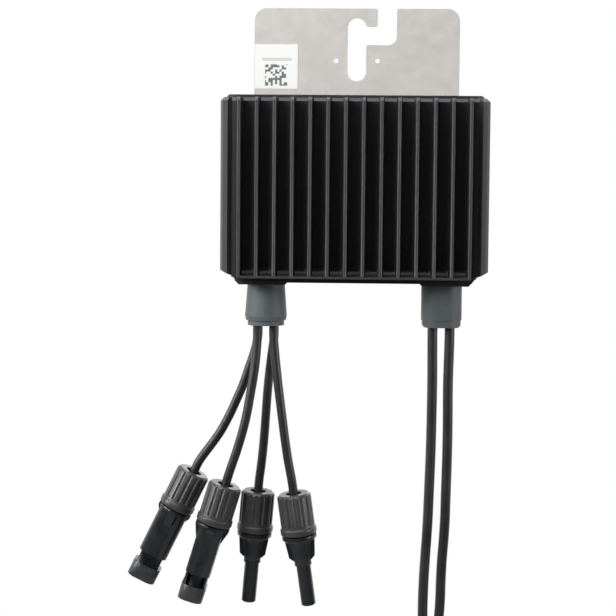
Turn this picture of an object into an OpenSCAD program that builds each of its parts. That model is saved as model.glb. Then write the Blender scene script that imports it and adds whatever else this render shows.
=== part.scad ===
// Solar power optimizer: a finned case on a hooked sheet bracket, with four short input leads
// and two long output leads. Seen from the front, +X is right, +Z is up and the fins face -Y.
// The origin is the centre of the upper bolt seat, on the back face of the bracket.

/* [Bracket] */
// Width of the sheet bracket
bracket_w = 102; // [90:1:112]
// Thickness of the sheet
bracket_t = 2; // [1.5:0.1:3]
// Top edge above the upper bolt seat
bracket_top = 9.3; // [8:0.1:14]
// How far the sheet runs down behind the case
bracket_tail = 72; // [60:1:80]
// Radius of the outer corners
bracket_corner = 6.2; // [3:0.1:8]
// Width of the bolt slot
slot_w = 9.2; // [8.6:0.1:10]
// Distance between the upper and lower bolt seats
slot_drop = 22; // [18:0.5:26]
// Near side of the entry, from the slot's centre line
entry_x = 10.2; // [9:0.1:12]
// Width of the entry in the top edge
entry_w = 9.5; // [9:0.1:11]
// Height of the passage from the entry to the slot
passage_h = 9.2; // [8.8:0.1:11]
// Underside of the hook above the upper bolt seat
hook_rise = 0.5; // [0:0.1:1.5]
// Radius in the far corner of the passage
passage_r = 4.5; // [2:0.1:4.5]
// Rounding of the other corners of the cut-out
cut_r = 1; // [0.5:0.1:1.5]
// Distance between the pilot holes
pilot_pitch = 20.6; // [16:0.2:26]
// Diameter of the pilot holes
pilot_d = 2.3; // [2:0.1:4]
// Pilot holes below the upper bolt seat
pilot_drop = 16.5; // [14:0.5:20]

/* [Case] */
// Width over the side ribs
case_w = 129; // [124:1:140]
// Depth from the bracket's back face to the fin tips
case_d = 49.5; // [47:0.5:58]
// Height of the case
case_h = 90.6; // [86:0.2:100]
// Top edge of the case below the upper bolt seat
case_drop = 34.6; // [31:0.2:40]
// Thickness of the walls
wall = 3.5; // [3:0.1:4.5]
// Bevel on the upper corners
case_bevel = 1.2; // [0.6:0.1:2.4]
// Width of the cut on the lower corners
box_cut_w = 5.5; // [3:0.1:6]
// Height of the cut on the lower corners
box_cut_h = 6.5; // [3:0.1:7]
// Front edge of the case behind the channel floor
front_step = 1.8; // [1.7:0.1:2.4]
// Size of the inner corner columns
column = 12; // [11:0.5:14]
// Height of the side ribs
rib_h = 2.5; // [1.5:0.1:3.5]
// Thickness of the side ribs
rib_t = 2.4; // [1.6:0.1:3]
// Number of ribs on each side
rib_count = 3; // [2:1:3]

/* [Fins] */
// Number of front fins
fin_count = 14; // [11:1:15]
// Height of the front fins
fin_h = 12; // [9:0.5:13]
// Thickness of a fin at its tip
fin_tip = 1.5; // [1:0.1:2]
// Thickness of a fin at its root
fin_root = 2.6; // [2.2:0.1:3.2]
// First fin from the side of the case
fin_side = 9.25; // [8:0.25:11]
// Bevel on the edges of a fin's tip
fin_edge = 0.4; // [0.1:0.1:0.4]
// Upper fin ends below the top edge of the case
fin_top_gap = 1.4; // [0.8:0.1:3]
// Lower fin ends above the bottom edge of the case
fin_low_gap = 2.7; // [2.5:0.1:5]
// Bevel on the upper fin ends
head_bevel = 1.6; // [0.5:0.1:1.6]
// Bevel on the lower fin ends
foot_bevel = 0.4; // [0.2:0.1:0.6]
// Rim that closes the channels at their lower ends
rim_t = 1.1; // [0.9:0.1:2]
// Rounding where a channel runs out on the rim
rim_r = 3; // [1.5:0.5:5]
// Set-back of the corner fins from the fin tips
corner_drop = 8; // [5:0.5:9]
// Thickness of a corner fin at its tip
corner_tip = 3.4; // [2.6:0.1:4]
// Thickness of a corner fin at its root
corner_root = 5.1; // [4.2:0.1:5.4]
// Width of the outer bevel on a corner fin
corner_edge_w = 1.2; // [0.4:0.1:1.6]
// Depth of that bevel
corner_edge_t = 1.4; // [0.4:0.1:2]
// Width of the cut on the lower fin corners
foot_w = 6.5; // [3:0.5:8]
// Height of the cut on the lower fin corners
foot_h = 3.6; // [2:0.1:6]
// Cut on the upper fin corners
head_cut = 1.8; // [1:0.1:3]

/* [Rear cover] */
// Thickness of the cover
cover_t = 5; // [4:0.1:6]
// Height of the cover's locating lip
lip_h = 2.5; // [1.5:0.1:4]
// Thickness of the lip
lip_t = 2; // [1.5:0.1:3]
// Thickness of the gasket
gasket_t = 1; // [0.6:0.1:1.6]
// Width of the gasket
gasket_w = 1.8; // [1.2:0.1:2.2]
// Gasket edge from the inside of the case
gasket_gap = 0.6; // [0.3:0.1:1]
// Diameter of the cover screws
screw_d = 3; // [2.5:0.1:3.5]
// Diameter of the screw heads
screw_head_d = 5.6; // [5:0.1:6.4]
// Height of the screw heads
screw_head_h = 2; // [1.5:0.1:2.5]
// Length of the cover screws
screw_l = 10; // [8:0.5:12]
// Cover screws from the corners of the case
screw_in = 6.2; // [5.8:0.1:6.5]
// Diameter of the bracket screws
bracket_screw_d = 4; // [3:0.1:5]
// Diameter of their countersunk heads
bracket_head_d = 7.4; // [7:0.1:9]
// Length of the bracket screws
bracket_screw_l = 5.5; // [4.6:0.1:5.9]
// Hexagon drive of the screws, across its corners
drive_d = 2.6; // [2:0.1:2.8]
// Distance between the bracket screws, across
bracket_screw_w = 80; // [60:1:84]
// Distance between the bracket screws, upright
bracket_screw_h = 54; // [40:1:58]
// Upper bracket screws below the top edge of the case
bracket_screw_drop = 9; // [7:0.5:14]

/* [Glands] */
// Input gland from the side of the case
input_side = 21.2; // [20.1:0.1:26]
// Output gland from the side of the case
output_side = 21.5; // [20.5:0.1:26]
// Width of a collar
collar_w = 26.4; // [24:0.2:30]
// Thickness of a collar
collar_t = 3.2; // [2.6:0.1:4.2]
// How deep a collar is let into the case
collar_set = 2.4; // [1.8:0.1:2.6]
// How far a collar stands in front of the case wall
collar_front = 2.5; // [1:0.1:4]
// Collar centre outward of its gland
collar_shift = 1; // [0:0.1:2]
// Bevel on the lower corners of a collar
collar_bevel = 2; // [1:0.1:2.6]
// Diameter of the input relief at the collar
input_relief_d = 18.3; // [18.2:0.1:20]
// Widest diameter of the input relief
input_flare_d = 20.7; // [20.2:0.1:23]
// Length of the input relief
input_relief_l = 18.5; // [14:0.5:24]
// Length of the taper at the input relief's lower end
input_taper_l = 2.2; // [1:0.1:4]
// Bore of the input relief
input_bore_d = 15.2; // [14.9:0.1:15.6]
// Diameter of the input grommet's lip
input_lip_d = 18; // [16.5:0.1:18.6]
// Height of the input grommet's lip
input_lip_h = 2.5; // [1.5:0.1:4]
// Width of the output relief
output_relief_w = 20; // [18.8:0.1:21]
// Depth of the output relief
output_relief_t = 15; // [12.5:0.5:17]
// Length of the output relief
output_relief_l = 17.6; // [14:0.2:24]
// Width of the output relief's bore
output_bore_w = 15.6; // [15:0.1:16]
// Depth of the output relief's bore
output_bore_t = 8; // [6.5:0.1:9]
// Height of the output grommet's lip
output_lip_h = 3.6; // [2.4:0.1:5]
// Rounding of the output grommet's lower corners
output_lip_r = 2; // [1:0.1:2.3]
// Length of the grommets inside the reliefs
grommet_l = 15; // [8:0.5:16]
// Wall left round a relief's neck
neck_step = 0.4; // [0.2:0.1:0.5]
// Retaining lip of a relief inside the case
neck_lip = 0.9; // [0.5:0.1:1.2]
// Height of the retaining lip
neck_lip_h = 2; // [1:0.1:3]

/* [Leads] */
// Diameter of the input leads
input_d = 4.5; // [4.2:0.1:5.1]
// Sideways distance between the input leads
input_pitch = 8; // [6.5:0.1:8.6]
// Distance between the two rows of input leads
input_rows = 5.2; // [5.2:0.1:6]
// Diameter of the output leads
output_d = 5; // [4.6:0.1:5.2]
// Distance between the output leads
output_pitch = 8.4; // [7:0.1:9]
// Radius of the wound coil at the middle of its turns
coil_r = 29; // [27:0.5:34]
// Turns of each lead across the coil
coil_columns = 3; // [3:1:4]
// Layers of turns in the coil
coil_layers = 4; // [4:2:4]
// Distance between neighbouring turns
coil_pitch = 5.1; // [5:0.05:5.6]
// Straight run where leads enter and leave the coil
coil_run = 18; // [17:0.5:24]
// Width of the tie round the coil
tie_w = 6; // [3:0.5:10]
// Thickness of the tie
tie_t = 1.2; // [0.8:0.1:2]

/* [Connectors] */
// Length of a nut
nut_l = 20.5; // [18:0.5:24]
// Diameter of a nut at its lower ring
nut_d = 18; // [17:0.1:18.6]
// Diameter of a nut at its top
nut_top_d = 16.8; // [16:0.1:17.2]
// Height of the smooth lower ring
nut_ring = 3.6; // [2:0.1:5]
// Grip flutes round a nut
flute_count = 16; // [13:1:20]
// Diameter of a flute
flute_d = 2; // [1.6:0.1:2.4]
// Depth of a flute at the top
flute_in = 0.6; // [0.4:0.1:0.8]
// Opening in the top of a nut
nut_hole_d = 8; // [7:0.1:9]
// Thickness of the top of a nut
nut_roof = 2.5; // [1.5:0.1:4]
// Edge bevel of a nut
nut_bevel = 1.2; // [0.6:0.1:1.4]
// Gap between a nut and the flange below it
nut_gap = 0.6; // [0.3:0.1:1]
// Diameter of the body inside the nut
stub_d = 12.6; // [11:0.1:13]
// How far a lead runs into its nut
lead_in = 7; // [5:0.5:9]
// Diameter of the crimp on a lead's end
crimp_d = 6; // [5.4:0.1:6.6]
// Length of the crimp
crimp_l = 11; // [8:0.5:12]
// Diameter of the contact pin
pin_d = 4; // [3.6:0.1:4.2]
// Diameter of the pin's shank inside the shell
pin_shank_d = 5; // [4.6:0.1:5.2]
// Pin tip behind the mouth of its shell
pin_recess = 6.5; // [5:0.5:8]
// Length of the plug shell below its nut
shell_l = 40.5; // [38:0.5:46]
// Width of the plug shell
shell_w = 14.6; // [14:0.1:15.4]
// Thickness of the plug shell
shell_t = 12.6; // [12.2:0.1:13.4]
// Corner radius of the plug shell
shell_r = 4.5; // [3:0.1:5]
// Bore of the plug shell
socket_d = 9.2; // [8.8:0.1:9.4]
// Wall of the tube round that bore, behind the windows
sleeve_t = 0.8; // [0.6:0.1:1]
// Depth of that bore
socket_l = 30; // [26:0.5:32]
// Height of the flange under a nut
flange_l = 2.2; // [1.5:0.1:3]
// Diameter of the plug shell's flange
shell_flange_d = 16.4; // [15.6:0.1:17]
// Reach of the wings at that flange
wing_w = 17.2; // [16.4:0.1:17.6]
// Length of the wings on the flat sides
wing_l = 10; // [6:0.5:14]
// Length of the wings on the window sides
wing_short_l = 4; // [2:0.5:6]
// Thickness of the wings
wing_t = 4; // [3:0.1:6]
// Height of the end collar of the plug shell
end_collar = 8; // [6:0.5:10]
// Height of the groove above the end collar
groove_l = 6; // [4:0.5:8]
// Depth of the groove
groove_in = 0.5; // [0.3:0.1:0.7]
// Width of the latch windows
window_w = 9; // [5:0.5:9.5]
// Length of the nose connector below its nut
nose_l = 36.7; // [33:0.5:42]
// Diameter of the nose
nose_d = 7.2; // [7:0.1:7.4]
// Diameter of the nose connector's flange
nose_flange_d = 17.2; // [16.4:0.1:17.6]
// Height of the taper under that flange
flange_taper = 2; // [1:0.1:3]
// Lower end of the shoulder below the nut
shoulder_l = 13; // [11:0.5:15]
// Diameter of the shoulder at its top
shoulder_d = 12.8; // [12:0.1:13.6]
// Diameter of the shoulder at its lower end
shoulder_end_d = 9.6; // [9:0.1:10.4]
// Length of the taper from the shoulder to the nose
nose_taper = 1.6; // [1:0.1:3]
// Bevel on the end of the nose
nose_bevel = 0.5; // [0.2:0.1:0.7]
// Reach of the latch arms at the flange
arm_w = 15; // [14.2:0.1:16]
// Reach of the latch arms at their tips
arm_end_w = 12.8; // [12:0.1:13.4]
// Width of the latch arms
arm_t = 5; // [3:0.1:6]
// Depth of the latch arms' hooks
arm_h = 1.6; // [1.2:0.1:2]
// Bore of the nose
nose_bore_d = 5.4; // [5.2:0.1:5.6]
// Bore of the socket contact
contact_bore_d = 4.1; // [3.7:0.1:4.3]
// Depth of that bore
contact_bore_l = 16; // [10:0.5:20]
// Contact behind the end of the nose
contact_recess = 1.2; // [0.5:0.1:2]
// Thickness of the nose's seal ring
seal_t = 0.6; // [0.5:0.1:0.9]
// Height of the seal ring
seal_h = 1.4; // [1:0.1:2.4]

/* [Board] */
// Gap from the board to the side walls
board_side = 6; // [5.5:0.1:9]
// Gap from the board to the top wall
board_head = 5; // [4:0.5:8]
// Thickness of the board
board_t = 1.6; // [1.2:0.1:2.4]
// Bevel on the corners of the board
board_bevel = 6; // [5:0.5:8]
// Leads' ends above the inside of the lower wall
lead_rise = 9.7; // [8:0.1:14]
// Board screws from the edges of the board
board_screw_in = 8; // [7:0.5:10]
// Gap between the lower board posts and the terminal lugs
post_gap = 1; // [0.5:0.1:3]
// Diameter of the board posts
post_d = 7; // [6:0.1:8]
// Diameter of the board screws
board_screw_d = 2.6; // [2:0.1:3]
// Length of the board screws in the posts
board_screw_l = 6; // [4:0.5:8]
// Diameter of the board screws' heads
board_head_d = 4.8; // [4.2:0.1:5.6]
// Height of the board screws' heads
board_head_h = 1.8; // [1.2:0.1:2.4]
// Number of power transistors
transistor_count = 4; // [2:1:4]
// Width of a transistor
transistor_w = 10; // [8:0.5:11]
// Length of a transistor
transistor_l = 15; // [12:0.5:18]
// Thickness of a transistor
transistor_t = 5; // [4:0.1:5.6]
// Distance between transistors
transistor_pitch = 17; // [13:0.5:18]
// Thickness of the thermal pad
pad_t = 2.2; // [1:0.1:3]
// Edge of the thermal pad round the transistors
pad_edge = 1.5; // [1:0.1:3]
// Wall of an inductor's ring core
core_wall = 6; // [4:0.5:7]
// Thickness of a winding on its core
winding_t = 1.5; // [1:0.1:2]
// Part of the core that is wound
winding_angle = 300; // [240:5:330]
// Gap between the two windings
winding_gap = 6; // [3:0.5:10]
// Gap from a winding to the capacitors
capacitor_gap = 3.75; // [2:0.25:5]
// Space between tall parts and the rear cover
head_gap = 1; // [0.8:0.1:2]
// Diameter of a capacitor
capacitor_d = 12.5; // [10:0.5:13]
// Capacitors from the side of the board
capacitor_side = 9.5; // [7.5:0.5:10]
// Distance between two capacitors
capacitor_pitch = 16; // [14:0.5:17]
// Parts' middle line below the board's top edge
parts_drop = 26; // [24:0.5:30]
// Side of the control chip
chip_w = 10; // [7:0.5:12]
// Thickness of the control chip
chip_t = 1.6; // [1:0.1:2.4]
// Control chip below the parts' middle line
chip_drop = 26; // [24:0.5:30]
// Width of a terminal lug
lug_w = 4.4; // [3.4:0.1:5]
// Thickness of a terminal lug
lug_t = 4; // [3:0.1:5]
// Length of a terminal lug
lug_l = 6; // [4:0.5:8]

/* [Hidden] */
$fn = 48;
// Clearance of parts that push into each other
fit = 0.05;
// Overrun that keeps cut faces clean
over = 1;
// Sides of a lead's tube
tube_sides = 10;

// Depths, counted from the back face of the bracket towards the fins
cover_face = bracket_t + cover_t;
case_back = cover_face + gasket_t;
channel_floor = case_d - fin_h;
box_front = channel_floor - front_step;
inner_front = channel_floor - wall;
lead_depth = (case_back + inner_front) / 2;
board_back = lead_depth - board_t / 2;
board_front = lead_depth + board_t / 2;
part_h = board_back - cover_face - head_gap;
collar_back = case_back + gasket_t;

// Widths
box_w = case_w - 2 * rib_h;
inner_w = box_w - 2 * wall;
inner_h = case_h - 2 * wall;
board_w = inner_w - 2 * board_side;
capacitor_x = board_w / 2 - capacitor_side;
winding_d = capacitor_x - capacitor_d / 2 - capacitor_gap - winding_gap / 2;
core_d = winding_d - 2 * winding_t;
core_hole_d = core_d - 2 * core_wall;
inductor_x = (winding_gap + winding_d) / 2;
input_x = case_w / 2 - input_side;
output_x = case_w / 2 - output_side;

// Heights, counted up from the upper bolt seat
case_top = -case_drop;
case_low = case_top - case_h;
case_mid = case_top - case_h / 2;
fin_high = case_top - fin_top_gap;
fin_low = case_low + fin_low_gap;
collar_high = case_low + collar_set;
collar_low = collar_high - collar_t;
lead_end = case_low + wall + lead_rise;
board_high = case_top - wall - board_head;
board_low = lead_end + 10 * fit;
board_h = board_high - board_low;
board_mid = (board_high + board_low) / 2;
parts_z = board_high - parts_drop;

// Fins
fin_first = case_w / 2 - fin_side;
fin_pitch = 2 * fin_first / (fin_count - 1);
fin_slope = (fin_root - fin_tip) / 2 / fin_h;
corner_face = case_d - corner_drop;
rib_pitch = 2 * (channel_floor - case_back) / (2 * rib_count + 1);

// Glands: places and radii of the necks that pass through the case
input_exit = collar_low - input_relief_l - input_lip_h;
output_exit = collar_low - output_relief_l - output_lip_h;
input_neck_d = input_relief_d - 2 * neck_step;

// Screws
screw_x = box_w / 2 - screw_in;
screw_z = case_h / 2 - screw_in;
bracket_screw_z = case_top - bracket_screw_drop;
bracket_cone_h = (bracket_head_d - bracket_screw_d) / 2;
board_screw_x = board_w / 2 - board_screw_in;
board_screw_z = [board_high - board_screw_in, lead_end + lug_l + post_gap + post_d / 2];

// Routes of the leads, as steps from the point where each leaves its grommet
route_1 = [
    [0, 0, 0], [0, 0, -5], [-0.8, 0.1, -10], [-2.3, 0.2, -15.5], [-4.2, 0.3, -21],
    [-6, 0.4, -26.5], [-8, 0.6, -32], [-10.4, 0.8, -37.5], [-12.8, 1, -43], [-15.5, 1.2, -48.5],
    [-18.6, 1.4, -54.1], [-22.2, 1.6, -59.4], [-25.9, 1.9, -64.4], [-29.3, 2.2, -69.3], [-31.8, 2.5, -74.4]
];
route_2 = [
    [0, 0, 0], [0, 0, -5.5], [-0.3, -0.3, -11], [-0.7, -0.7, -16.5], [-1.3, -1.1, -22],
    [-2.1, -1.5, -27.5], [-3, -1.9, -33], [-3.9, -2.2, -38.5], [-4.9, -2.4, -44], [-6.1, -2.6, -49.5],
    [-7.6, -2.6, -55.2], [-9.4, -2.5, -61.3], [-11.4, -2.3, -67.3], [-13.4, -2, -73.3], [-15.2, -1.6, -79.2]
];
route_3 = [
    [0, 0, 0], [0, 0, -5.5], [-0.7, 0.1, -11.5], [-1.5, 0.2, -17.5], [-2.2, 0.3, -23.5],
    [-2.8, 0.4, -29.5], [-3.3, 0.6, -35.5], [-3.7, 0.8, -41.5], [-4.1, 1, -47.5], [-4.5, 1.2, -53.5],
    [-5, 1.4, -59.7], [-5.6, 1.6, -65.8], [-6.3, 1.9, -71.9], [-7.1, 2.2, -77.9], [-7.6, 2.6, -83.8]
];
route_4 = [
    [0, 0, 0], [0, 0, -5.5], [0.5, -0.3, -11.5], [1.1, -0.7, -17.5], [1.8, -1.1, -23.5],
    [2.5, -1.5, -29.5], [3.3, -1.9, -35.5], [4.1, -2.2, -41.5], [4.9, -2.4, -47.5], [5.7, -2.6, -53.5],
    [6.6, -2.6, -59.7], [7.5, -2.5, -65.6], [8.6, -2.3, -71.5], [9.7, -2, -77.4], [10.5, -1.6, -83.2]
];
route_5 = [
    [0, 0, 0], [0, 0, -6], [0.1, 0, -16], [0.2, 0, -26], [0.2, 0, -36], [0.1, 0, -46], [0, 0, -56],
    [-0.2, 0, -66], [-0.5, 0, -76], [-0.8, 0, -86], [-1.1, 0, -96], [-1.6, 0, -106], [-2.2, 0, -116],
    [-2.7, -0.2, -126], [-3, -0.5, -136], [-3, -1, -146], [-2.4, -1.7, -153], [-1.3, -2.4, -160],
    [-0.3, -2.55, -166], [0, -2.55, -170], [0, -2.55, -174]
];
route_6 = [
    [0, 0, 0], [0, 0, -6], [-0.2, 0, -16], [-0.4, 0, -26], [-0.4, 0, -36], [-0.3, 0, -46], [-0.3, 0, -56],
    [-0.4, 0, -66], [-0.6, 0, -76], [-0.8, 0, -86], [-1, 0, -96], [-1.5, 0, -106], [-2.2, 0, -116],
    [-2.6, 0.2, -126], [-2.8, 0.5, -136], [-3.4, 1, -146], [-4.6, 1.7, -153], [-6.6, 2.4, -160],
    [-8, 2.55, -166], [-8.4, 2.55, -170], [-8.4, 2.55, -174]
];
// Steps of the left and right tails below the coil
tail_route = [[0, 0, 0], [0, 0, -4], [0.9, 0, -9], [2.3, 0, -14], [4, 0, -19], [5.7, 0, -24]];

// Points where the leads leave their grommets
input_left = -input_x - input_pitch / 2;
input_right = -input_x + input_pitch / 2;
row_back = -lead_depth + input_rows / 2;
row_front = -lead_depth - input_rows / 2;
output_left = output_x - output_pitch / 2;
output_right = output_x + output_pitch / 2;
exits = [
    [input_left, row_back, input_exit],
    [input_left, row_front, input_exit],
    [input_right, row_back, input_exit],
    [input_right, row_front, input_exit],
    [output_left, -lead_depth, output_exit],
    [output_right, -lead_depth, output_exit]
];
routes = [route_1, route_2, route_3, route_4, route_5, route_6];

// Coil: the output leads enter and leave at its left side
coil_out = coil_r + coil_pitch * (coil_columns - 1) / 2;
coil_half_w = coil_pitch * coil_columns / 2;
coil_half_t = coil_pitch * coil_layers / 2;
coil_entry = exits[4] + route_5[len(route_5) - 1];
coil_x = coil_entry[0] + coil_out;
coil_z = coil_entry[2] - coil_run;
tail_side = coil_pitch * (coil_layers - 1) / 2;
tail_x = coil_entry[0] - coil_pitch;
tail_starts = [
    [tail_x, -lead_depth - tail_side, coil_z - coil_run],
    [tail_x, -lead_depth + tail_side, coil_z - coil_run]
];
tail_left = [for (p = tail_route) [-p[0], p[1], p[2]]];
tail_routes = [tail_left, tail_route];

// Free ends of the six leads, and the direction in which each runs into its connector
function last(list) = list[len(list) - 1];
function unit(v) = v / norm(v);
function heading(route) = unit(last(route) - route[len(route) - 2]);
end_points = [
    for (i = [0:3]) exits[i] + last(routes[i]),
    for (i = [0:1]) tail_starts[i] + last(tail_routes[i])
];
end_headings = [
    for (i = [0:3]) heading(routes[i]),
    for (i = [0:1]) heading(tail_routes[i])
];

// Lower ends of the nose connector's shoulder and taper, from its nut's top
shoulder_end = nut_l + shoulder_l;
nose_start = shoulder_end + nose_taper;

// Rings of a tube along a list of points
function tangent(pts, i) =
    i == 0 ? unit(pts[1] - pts[0]) :
    i == len(pts) - 1 ? unit(pts[i] - pts[i - 1]) :
    unit(unit(pts[i + 1] - pts[i]) + unit(pts[i] - pts[i - 1]));
function ring(p, t, r) =
    let (a = unit(cross(t, [0, 1, 0])), b = cross(a, t))
    [for (k = [0:tube_sides - 1]) p + r * (cos(360 * k / tube_sides) * a + sin(360 * k / tube_sides) * b)];
function every_second(list) = [for (i = [0:2:len(list) - 1]) list[i]];
function placed(start, steps) = [for (s = steps) start + s];

// A front outline, drawn in X and Z, between two depths
module plate(depth_0, depth_1) {
    translate([0, -depth_0, 0]) rotate([90, 0, 0]) linear_extrude(depth_1 - depth_0) children();
}

// A plan outline, drawn in X and Y, between two heights
module upright(z_0, z_1) {
    translate([0, 0, z_0]) linear_extrude(z_1 - z_0) children();
}

// A side outline, drawn in Y and Z, across the whole width
module across(width) {
    translate([-width / 2, 0, 0]) rotate([90, 0, 90]) linear_extrude(width) children();
}

// A round bar along the depth
module bar(x, z, depth_0, depth_1, d) {
    translate([x, -depth_0, z]) rotate([90, 0, 0]) cylinder(d = d, h = depth_1 - depth_0);
}

module mirrored() {
    children();
    mirror([1, 0, 0]) children();
}

module rounded_rect(w, h, r) {
    square([w - 2 * r, h], center = true);
    square([w, h - 2 * r], center = true);
    for (x = [-1, 1], y = [-1, 1]) translate([x * (w / 2 - r), y * (h / 2 - r)]) circle(r);
}

module bevelled_rect(w, h, c) {
    polygon([
        [-w / 2 + c, -h / 2], [w / 2 - c, -h / 2], [w / 2, -h / 2 + c], [w / 2, h / 2 - c],
        [w / 2 - c, h / 2], [-w / 2 + c, h / 2], [-w / 2, h / 2 - c], [-w / 2, -h / 2 + c]
    ]);
}

module obround(w, t) {
    square([w - t, t], center = true);
    for (x = [-1, 1]) translate([x * (w - t) / 2, 0]) circle(d = t);
}

// The small piece that a cut takes off a corner when the corner is rounded
module corner_round(x, z, to_x, to_z, r) {
    translate([x, z]) mirror([to_x < 0 ? 1 : 0, 0]) mirror([0, to_z < 0 ? 1 : 0])
        difference() {
            square(r);
            translate([r, r]) circle(r);
        }
}

// The inside outline of the case, grown outward by a margin
module inner_outline(grow) {
    bevelled_rect(inner_w + 2 * grow, inner_h + 2 * grow, column + grow * (2 - sqrt(2)));
}

module bolt_cutout() {
    passage_low = hook_rise - passage_h;
    far_x = entry_x + entry_w;
    hull_x = far_x - passage_r;
    circle(d = slot_w);
    translate([0, -slot_drop]) circle(d = slot_w);
    translate([-slot_w / 2, -slot_drop]) square([slot_w, slot_drop]);
    translate([0, passage_low]) square([hull_x, passage_h]);
    translate([hull_x, passage_low + passage_r]) circle(passage_r);
    translate([hull_x, passage_low + passage_r]) square([passage_r, passage_h - passage_r]);
    translate([entry_x, passage_low + passage_r])
        square([entry_w, bracket_top + over - passage_low - passage_r]);
    corner_round(entry_x, hook_rise, -1, 1, cut_r);
    corner_round(slot_w / 2, hook_rise, 1, 1, cut_r);
    corner_round(slot_w / 2, passage_low, 1, -1, cut_r);
    corner_round(entry_x, bracket_top, -1, -1, cut_r);
    corner_round(far_x, bracket_top, 1, -1, cut_r);
}

module bracket_screw_places() {
    for (x = [-1, 1], z = [0, -bracket_screw_h])
        translate([x * bracket_screw_w / 2, 0, bracket_screw_z + z]) rotate([90, 0, 0]) children();
}

module mounting_bracket() {
    sheet_h = bracket_top + case_drop + bracket_tail;
    color("#cfcbc6") difference() {
        plate(0, bracket_t) difference() {
            translate([0, bracket_top - sheet_h / 2]) rounded_rect(bracket_w, sheet_h, bracket_corner);
            bolt_cutout();
            for (x = [-1, 1]) translate([x * pilot_pitch / 2, -pilot_drop]) circle(d = pilot_d);
        }
        bracket_screw_places() screw_form(fit);
    }
}

// A countersunk screw that points along +Z, with its head flush with Z = 0
module screw_form(grow) {
    translate([0, 0, -grow]) cylinder(d = bracket_screw_d + 2 * grow, h = bracket_screw_l + 2 * grow);
    cylinder(d1 = bracket_head_d + 2 * grow, d2 = bracket_screw_d + 2 * grow, h = bracket_cone_h);
}

module bracket_screws() {
    color("silver") bracket_screw_places() difference() {
        union() {
            cylinder(d = bracket_screw_d, h = bracket_screw_l);
            cylinder(d1 = bracket_head_d, d2 = bracket_screw_d, h = bracket_cone_h);
        }
        translate([0, 0, -over]) cylinder(d = drive_d, h = over + bracket_cone_h, $fn = 6);
    }
}

// Front outline of the case and its cover
module box_outline() {
    half = box_w / 2;
    polygon([
        [box_cut_w - half, case_low], [half - box_cut_w, case_low],
        [half, case_low + box_cut_h], [half, case_top - case_bevel],
        [half - case_bevel, case_top], [case_bevel - half, case_top],
        [-half, case_top - case_bevel], [-half, case_low + box_cut_h]
    ]);
}

// Plan outline of the front fins
module fin_plan() {
    foot = fin_root / 2 + fin_slope * over;
    edge = fin_tip / 2 + fin_slope * fin_edge;
    for (i = [0:fin_count - 1]) translate([i * fin_pitch - fin_first, 0]) polygon([
        [-foot, over - channel_floor], [foot, over - channel_floor],
        [edge, fin_edge - case_d], [fin_tip / 2 - fin_edge, -case_d],
        [fin_edge - fin_tip / 2, -case_d], [-edge, fin_edge - case_d]
    ]);
}

// Plan outline of the corner fins, which slope out from the sides of the case
module corner_plan() {
    half = case_w / 2;
    root = channel_floor - rib_t;
    mirrored() polygon([
        [half - rib_h - over, rib_h - root], [half - rib_h, rib_h - root], [half, -root],
        [half, corner_edge_t - corner_face], [half - corner_edge_w, -corner_face],
        [half - corner_tip, -corner_face], [half - corner_root, -channel_floor],
        [half - rib_h - over, over - channel_floor]
    ]);
}

// Side outline up to a front depth, bevelled at both ends
module fin_side(front) {
    polygon([
        [-case_back, fin_low], [-case_back, fin_high],
        [head_bevel - front, fin_high], [-front, fin_high - head_bevel],
        [-front, fin_low + foot_bevel], [foot_bevel - front, fin_low]
    ]);
}

// Side outline of the rim at the channels' lower ends
module rim_side() {
    difference() {
        union() {
            translate([-case_d, fin_low]) square([fin_h + over, rim_t]);
            translate([-channel_floor - rim_r, fin_low]) square([rim_r + over, rim_t + rim_r]);
        }
        translate([-channel_floor - rim_r, fin_low + rim_t + rim_r]) circle(rim_r);
    }
}

// Front outline of the fins with their cut corners
module fin_front() {
    half = case_w / 2;
    polygon([
        [-half, fin_low + foot_h], [foot_w - half, fin_low], [half - foot_w, fin_low],
        [half, fin_low + foot_h], [half, fin_high - head_cut], [half - head_cut, fin_high],
        [head_cut - half, fin_high], [-half, fin_high - head_cut]
    ]);
}

module side_ribs() {
    mirrored() for (i = [1:rib_count - 1]) {
        depth = channel_floor - rib_t / 2 - i * rib_pitch;
        translate([box_w / 2, -depth]) polygon([
            [-over, -rib_t / 2 - rib_h / 4], [0, -rib_t / 2 - rib_h / 4], [rib_h, -rib_t / 2],
            [rib_h, rib_t / 2], [0, rib_t / 2 + rib_h / 4], [-over, rib_t / 2 + rib_h / 4]
        ]);
    }
}

// Upright pieces that reach to a front depth
module layer(front) {
    intersection() {
        upright(fin_low, fin_high) children();
        across(case_w) fin_side(front);
    }
}

module fin_block() {
    intersection() {
        union() {
            layer(channel_floor) {
                translate([-box_w / 2, -channel_floor]) square([box_w, front_step + over]);
                side_ribs();
            }
            layer(corner_face) corner_plan();
            layer(case_d) fin_plan();
            across(2 * fin_first) intersection() {
                fin_side(case_d);
                rim_side();
            }
        }
        plate(case_back, case_d) fin_front();
    }
}

// Plan outlines of the two relief necks, grown by a margin
module gland_places(grow) {
    neck_w = output_relief_w - 2 * neck_step;
    neck_t = output_relief_t - 2 * neck_step;
    translate([-input_x, -lead_depth]) circle(d = input_neck_d + 2 * grow);
    translate([output_x, -lead_depth]) obround(neck_w + 2 * grow, neck_t + 2 * grow);
}

// Front outline of the two collars, grown by a margin
module collar_outline(grow) {
    half = collar_w / 2 + grow;
    for (x = [-input_x - collar_shift, output_x + collar_shift])
        translate([x, 0]) polygon([
            [-half, collar_high + grow], [half, collar_high + grow], [half, collar_low + collar_bevel],
            [half - collar_bevel, collar_low - grow], [collar_bevel - half, collar_low - grow],
            [-half, collar_low + collar_bevel]
        ]);
}

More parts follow.
